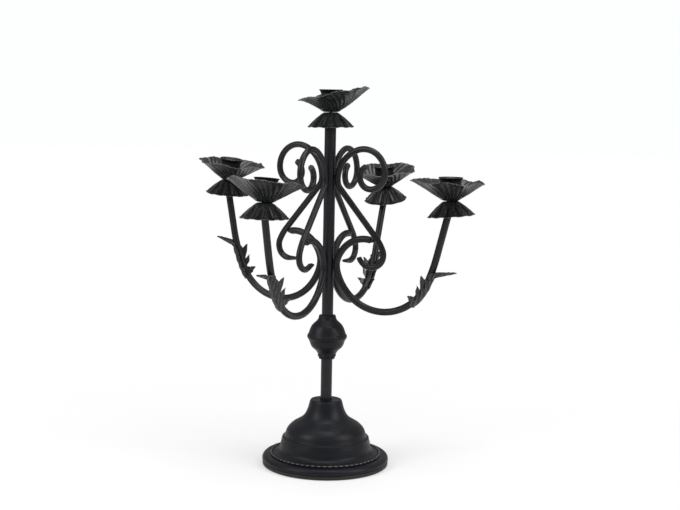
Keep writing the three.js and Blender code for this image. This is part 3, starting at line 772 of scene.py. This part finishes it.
def beads():
    """A beaded wire: pressed beads with a painted highlight on their tops, and dark gaps between them."""
    verts = []
    for step in range(BEADS * BEAD_STEPS):
        angle = 2 * math.pi * step / (BEADS * BEAD_STEPS)
        swell = math.sin(math.pi * (step % BEAD_STEPS) / BEAD_STEPS)
        size = BEAD_WIRE + BEAD_SWELL * swell ** 0.6
        for side in range(BEAD_SIDES):
            around = 2 * math.pi * side / BEAD_SIDES
            radius = BEAD_RING + size * math.cos(around)
            height = BEAD_HEIGHT + size * math.sin(around)
            verts.append((radius * math.cos(angle), radius * math.sin(angle), height))
    faces = grid_faces(BEADS * BEAD_STEPS, BEAD_SIDES, closed_rows=True)
    obj = piece("bead_ring_pressed", verts, faces, SPUN_PAINT, ("bead_ring",), sharp=60)
    obj.data.materials.append(BEAD_HIGHLIGHT_PAINT)
    # The upper middle of each bead takes the lighter paint as a painted highlight; the undersides and
    # gaps keep the plain paint.
    pitch = 360 / BEADS
    for face in obj.data.polygons:
        place = face.center / MM
        share = math.degrees(math.atan2(place.y, place.x)) % pitch / pitch
        if BEAD_HIGHLIGHT_SPAN[0] < share < BEAD_HIGHLIGHT_SPAN[1] and face.normal.z > -0.2:
            face.material_index = 1


def post():
    """A drawn tube, slightly uneven on its outside."""
    bore = POST_RADIUS - POST_WALL
    low, high = POST_FOOT + POST_FOOT_EDGE, POST_TOP - POST_EDGE
    heights = [low + (high - low) * step / POST_STEPS for step in range(POST_STEPS + 1)]
    outline = [(POST_RADIUS - POST_EDGE, POST_FOOT), *[(POST_RADIUS, height) for height in heights]]
    outline += [(POST_RADIUS - POST_EDGE, POST_TOP), (bore, POST_TOP), (bore, POST_FOOT)]

    def shift(radius, height, angle):
        if radius <= bore:
            return radius, height
        place = Vector((height * 0.03, 1.5 * math.cos(angle), 1.5 * math.sin(angle)))
        return radius + POST_UNEVEN * noise.noise(place), height

    verts, faces = turned(outline, POST_SEGMENTS, shift)
    piece("post_tube", verts, faces, ROD_PAINT, ("post",), sharp=40)


def knop():
    """Two spun half shells on a flat disc, which shows as a fine line at the seam."""
    for name, profile in (("lower", KNOP_LOWER), ("upper", KNOP_UPPER)):
        outline = walled(rounded(raised(KNOP_SEAM, profile)), SPUN_WALL)
        verts, faces = turned(outline, KNOP_SEGMENTS)
        piece(f"knop_{name}_spun", verts, faces, SPUN_PAINT, (f"knop_{name}",), sharp=42)
    verts, faces = turned(raised(KNOP_SEAM, KNOP_DISC), KNOP_SEGMENTS)
    piece("knop_disc_turned", verts, faces, STEEL, ("knop_disc",), sharp=30)


# ---- Arms ----------------------------------------------------------------------------------

FIRST_SEED = 11
SEED_STEP = 5
TOP_SEED = 41
TOP_SKIRT_TILT = -1
STEEL_NODES = ("base_stud", "base_nut", "post_foot_plug", "post_top_plug")


def arm(side, seed):
    """One scroll and one arm with its welds, leaf and flower."""
    spec = ARMS[side]
    azimuth = math.radians(spec.azimuth)
    scroll_weld = (POST_RADIUS + GAP + SCROLL_RADIUS, SCROLL_WELD_HEIGHT + spec.scroll_lift)
    lower = [*SCROLL_LOWER_CURL, (SCROLL_END_RADIUS, -spec.curl), spec.tail]
    scroll = both_ways(scroll_weld, SCROLL_UPPER_CURL, lower)
    flat_end = 0.5 if spec.tail else 0.25
    verts, faces = rod_mesh(scroll, SCROLL_RADIUS, azimuth, seed, flat_end)
    piece(f"scroll_{side}_forged", verts, faces, ROD_PAINT, (f"scroll_{side}",), sharp=45)

    weld = (POST_RADIUS + GAP + ARM_RADIUS, ARM_WELD_HEIGHT + spec.lift)
    rod = both_ways(weld, ARM_HOOK, arm_bends(spec, weld), hook_stop(weld, scroll))
    verts, faces = rod_mesh(rod, ARM_RADIUS, azimuth, seed + 7)
    piece(f"arm_{side}_forged", verts, faces, ROD_PAINT, (f"arm_{side}",), sharp=45)

    outwards = Vector((math.cos(azimuth), math.sin(azimuth), 0))
    at_post = outwards * (POST_RADIUS + WELD_STAND_OFF)
    bead_of_weld(f"weld_arm_{side}", at_post + UP * weld[1], ARM_WELD_SIZE, azimuth, seed)
    bead_of_weld(
        f"weld_scroll_{side}", at_post + UP * scroll_weld[1], SCROLL_WELD_SIZE, azimuth, seed + 1
    )
    hook_x, hook_z = rod[0][:2]
    at_hook = outwards * (hook_x + HOOK_WELD_SHIFT[0]) + UP * (hook_z + HOOK_WELD_SHIFT[1])
    bead_of_weld(f"weld_hook_{side}", at_hook, HOOK_WELD_SIZE, azimuth, seed + 2)

    below_weld = [point for point in rod if point[3] >= 0]
    leaf(side, below_weld, LEAF_START + spec.leaf_shift, azimuth, seed)

    end_x, end_z, end_heading, _ = rod[-1]
    spin = Matrix.Rotation(azimuth, 4, "Z")
    lean = Matrix.Rotation(math.pi / 2 - end_heading, 4, "Y")
    flower(side, spin @ Matrix.Translation((end_x, 0, end_z)) @ lean, spec.skirt_tilt, seed)


plate()
bell()
beads()
post()
knop()
for number, arm_side in enumerate(ARMS):
    arm(arm_side, FIRST_SEED + SEED_STEP * number)
flower("top", Matrix.Translation((0, 0, POST_TOP)), TOP_SKIRT_TILT, TOP_SEED)

for node_name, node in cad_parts.items():
    node.data.materials.clear()
    node.data.materials.append(STEEL if node_name in STEEL_NODES else FLOWER_PAINT)


# ---- Floor and light -----------------------------------------------------------------------

# The sizes here are in metres.
FLOOR_REACH = 8
FLOOR_DROP = 0.0002
FLOOR_GREY = (0.86, 0.86, 0.86)
FLOOR_FADE = (0.05, 0.6)  # distances from the stand's foot between which its shadow fades out
FLOOR_WHITE = (0.35, 1.0)  # share of plain white that the camera sees, near and far
WORLD_STRENGTH = 0.38
WORLD_COLOUR = (0.985, 1, 1, 1)  # as the camera sees it


def white_to_camera(material, colour):
    """A pale surface that turns plain white to the camera away from the stand and its shadow."""
    tree = nodes_of(material)
    out = add(tree, "ShaderNodeOutputMaterial")
    diffuse = add(tree, "ShaderNodeBsdfDiffuse")
    diffuse.inputs["Color"].default_value = (*colour, 1)
    glow = add(tree, "ShaderNodeEmission")
    glow.inputs["Color"].default_value = (1, 1, 1, 1)
    path = add(tree, "ShaderNodeLightPath")
    mix = add(tree, "ShaderNodeMixShader")
    place = add(tree, "ShaderNodeNewGeometry")
    away = add(tree, "ShaderNodeVectorMath", operation="LENGTH")
    tree.links.new(place.outputs["Position"], away.inputs[0])
    fade = add(tree, "ShaderNodeMapRange", interpolation_type="SMOOTHSTEP")
    fade.inputs["From Min"].default_value, fade.inputs["From Max"].default_value = FLOOR_FADE
    fade.inputs["To Min"].default_value, fade.inputs["To Max"].default_value = FLOOR_WHITE
    tree.links.new(away.outputs["Value"], fade.inputs["Value"])
    share = add(tree, "ShaderNodeMath", operation="MULTIPLY")
    tree.links.new(fade.outputs[0], share.inputs[1])
    tree.links.new(path.outputs["Is Camera Ray"], share.inputs[0])
    tree.links.new(share.outputs[0], mix.inputs[0])
    tree.links.new(diffuse.outputs[0], mix.inputs[1])
    tree.links.new(glow.outputs[0], mix.inputs[2])
    tree.links.new(mix.outputs[0], out.inputs["Surface"])


floor_mesh = bpy.data.meshes.new("floor")
corners = [(x * FLOOR_REACH, y * FLOOR_REACH, 0) for x, y in ((-1, -1), (1, -1), (1, 1), (-1, 1))]
floor_mesh.from_pydata(corners, [], [(0, 1, 2, 3)])
floor = bpy.data.objects.new("floor", floor_mesh)
bpy.context.scene.collection.objects.link(floor)
floor.location.z = -FLOOR_DROP
floor_material = bpy.data.materials.new("floor")
white_to_camera(floor_material, FLOOR_GREY)
floor_mesh.materials.append(floor_material)

world = bpy.data.worlds.new("studio")
bpy.context.scene.world = world
world.use_nodes = True
world_tree = world.node_tree
world_tree.nodes.clear()
world_out = add(world_tree, "ShaderNodeOutputWorld")
soft = add(world_tree, "ShaderNodeBackground")
soft.inputs["Color"].default_value = (1, 1, 1, 1)
soft.inputs["Strength"].default_value = WORLD_STRENGTH
plain = add(world_tree, "ShaderNodeBackground")
plain.inputs["Color"].default_value = WORLD_COLOUR
plain.inputs["Strength"].default_value = 1.0
world_path = add(world_tree, "ShaderNodeLightPath")
world_mix = add(world_tree, "ShaderNodeMixShader")
world_tree.links.new(world_path.outputs["Is Camera Ray"], world_mix.inputs[0])
world_tree.links.new(soft.outputs[0], world_mix.inputs[1])
world_tree.links.new(plain.outputs[0], world_mix.inputs[2])
world_tree.links.new(world_mix.outputs[0], world_out.inputs["Surface"])


def softbox(name, place, aim_height, size, power):
    """A rectangular lamp of so many watts, facing a point on the stand's axis."""
    data = bpy.data.lights.new(name, "AREA")
    data.shape = "RECTANGLE"
    data.size, data.size_y = size
    data.energy = power
    obj = bpy.data.objects.new(name, data)
    bpy.context.scene.collection.objects.link(obj)
    obj.location = place
    aim = Vector((0, 0, aim_height)) - Vector(place)
    obj.rotation_euler = aim.to_track_quat("-Z", "Y").to_euler()


softbox("soft_left", (-1.5, -0.9, 1.3), 0.25, (0.9, 1.3), 18)
softbox("soft_right", (1.5, -0.8, 1.2), 0.25, (0.9, 1.3), 18)
softbox("soft_top", (0.1, -0.1, 1.9), 0.2, (1.2, 1.2), 19)

bpy.context.scene.view_settings.view_transform = "Standard"
